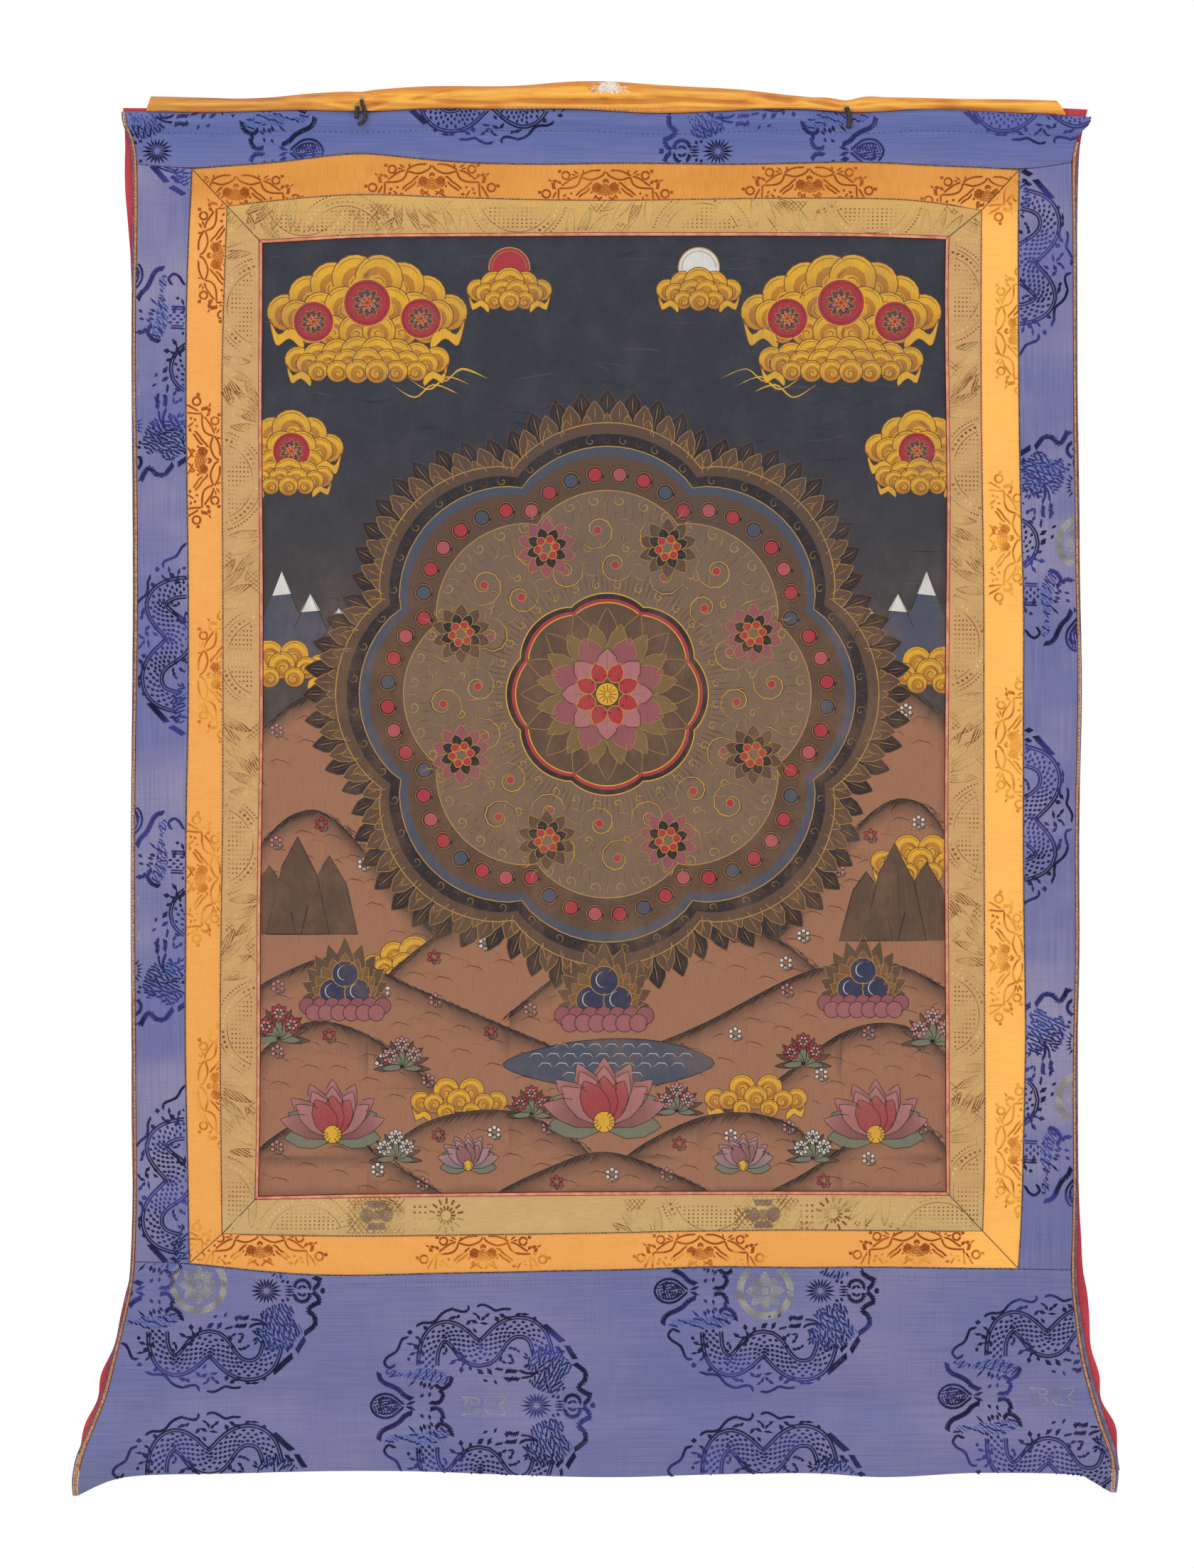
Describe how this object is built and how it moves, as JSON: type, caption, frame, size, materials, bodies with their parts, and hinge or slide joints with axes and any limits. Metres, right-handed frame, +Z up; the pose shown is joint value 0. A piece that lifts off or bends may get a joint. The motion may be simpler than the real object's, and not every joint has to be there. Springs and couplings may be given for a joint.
{
  "type": "thangka scroll painting",
  "caption": "Painted canvas in mitred brocade frames on a blue silk mount with a heading, flared skirt, red lining and a yellow veil thrown back over the top.",
  "frame": {"origin": "middle of the heading's top edge, where the scroll is held up", "axes": "+Z up, +X to the right seen from the front, the painted front faces -Y"},
  "size_m": [0.6637, 0.018, 0.8956],
  "materials": {
    "painted_canvas": "matt distemper paint on worn cotton canvas",
    "edging": "folded silk edging",
    "olive_brocade": "khaki silk brocade with gold floats",
    "orange_brocade": "orange silk brocade",
    "blue_brocade": "slate blue silk damask with a satin sheen",
    "piping": "tan cotton piping",
    "red_lining": "plain red cotton",
    "veil_satin": "thin golden yellow satin",
    "thong": "dark worn leather"
  },
  "bodies": {
    "root": {"canvas": "painted_canvas", "edging_top": "edging", "edging_right": "edging", "edging_bottom": "edging", "edging_left": "edging", "olive_top": "olive_brocade", "olive_right": "olive_brocade", "olive_bottom": "olive_brocade", "olive_left": "olive_brocade", "orange_top": "orange_brocade", "orange_right": "orange_brocade", "orange_bottom": "orange_brocade", "orange_left": "orange_brocade", "heading": "blue_brocade", "side_left": "blue_brocade", "side_right": "blue_brocade", "skirt": "blue_brocade", "piping_left": "piping", "piping_right": "piping", "binding_left": "blue_brocade", "binding_right": "blue_brocade", "lining": "red_lining", "veil": "veil_satin", "thong_left_long": "thong", "thong_left_short": "thong", "thong_right": "thong"}
  },
  "joints": []
}
